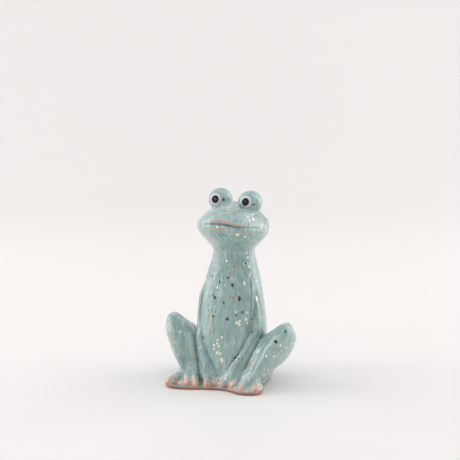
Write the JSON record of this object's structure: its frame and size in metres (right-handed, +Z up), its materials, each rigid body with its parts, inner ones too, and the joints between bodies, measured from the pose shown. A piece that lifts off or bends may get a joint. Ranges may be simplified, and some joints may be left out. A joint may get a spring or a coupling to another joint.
{
  "type": "frog figurine",
  "caption": "Upright seated frog figurine in glazed earthenware, a hollow casting with raised knees, hugging arms and inlaid eyes on a thin flat base.",
  "frame": {"origin": "on the table plane, under the middle of the body, on the base's flat underside", "axes": "+Z up, the frog looks along -Y, its own left side is +X; its head is turned four degrees towards its right"},
  "size_m": [0.1342, 0.095, 0.1886],
  "materials": {
    "glaze": "glossy pale sea-green reactive glaze with cream, brown and clay-red flecks, thin over the toes",
    "bare_clay": "bare fired red clay, matt",
    "eye_white": "glossy white enamel",
    "eye_black": "glossy black enamel"
  },
  "bodies": {
    "root": {"arm_left": "glaze", "arm_right": "glaze", "base": "bare_clay", "body": "glaze", "eye_dome_left": "glaze", "eye_dome_right": "glaze", "eye_white_left": "eye_white", "eye_white_right": "eye_white", "hand_left": "glaze", "hand_right": "glaze", "head": "glaze", "hind_foot_left": "glaze", "hind_foot_right": "glaze", "hind_leg_left": "glaze", "hind_leg_right": "glaze", "pupil_left": "eye_black", "pupil_right": "eye_black"}
  },
  "joints": []
}
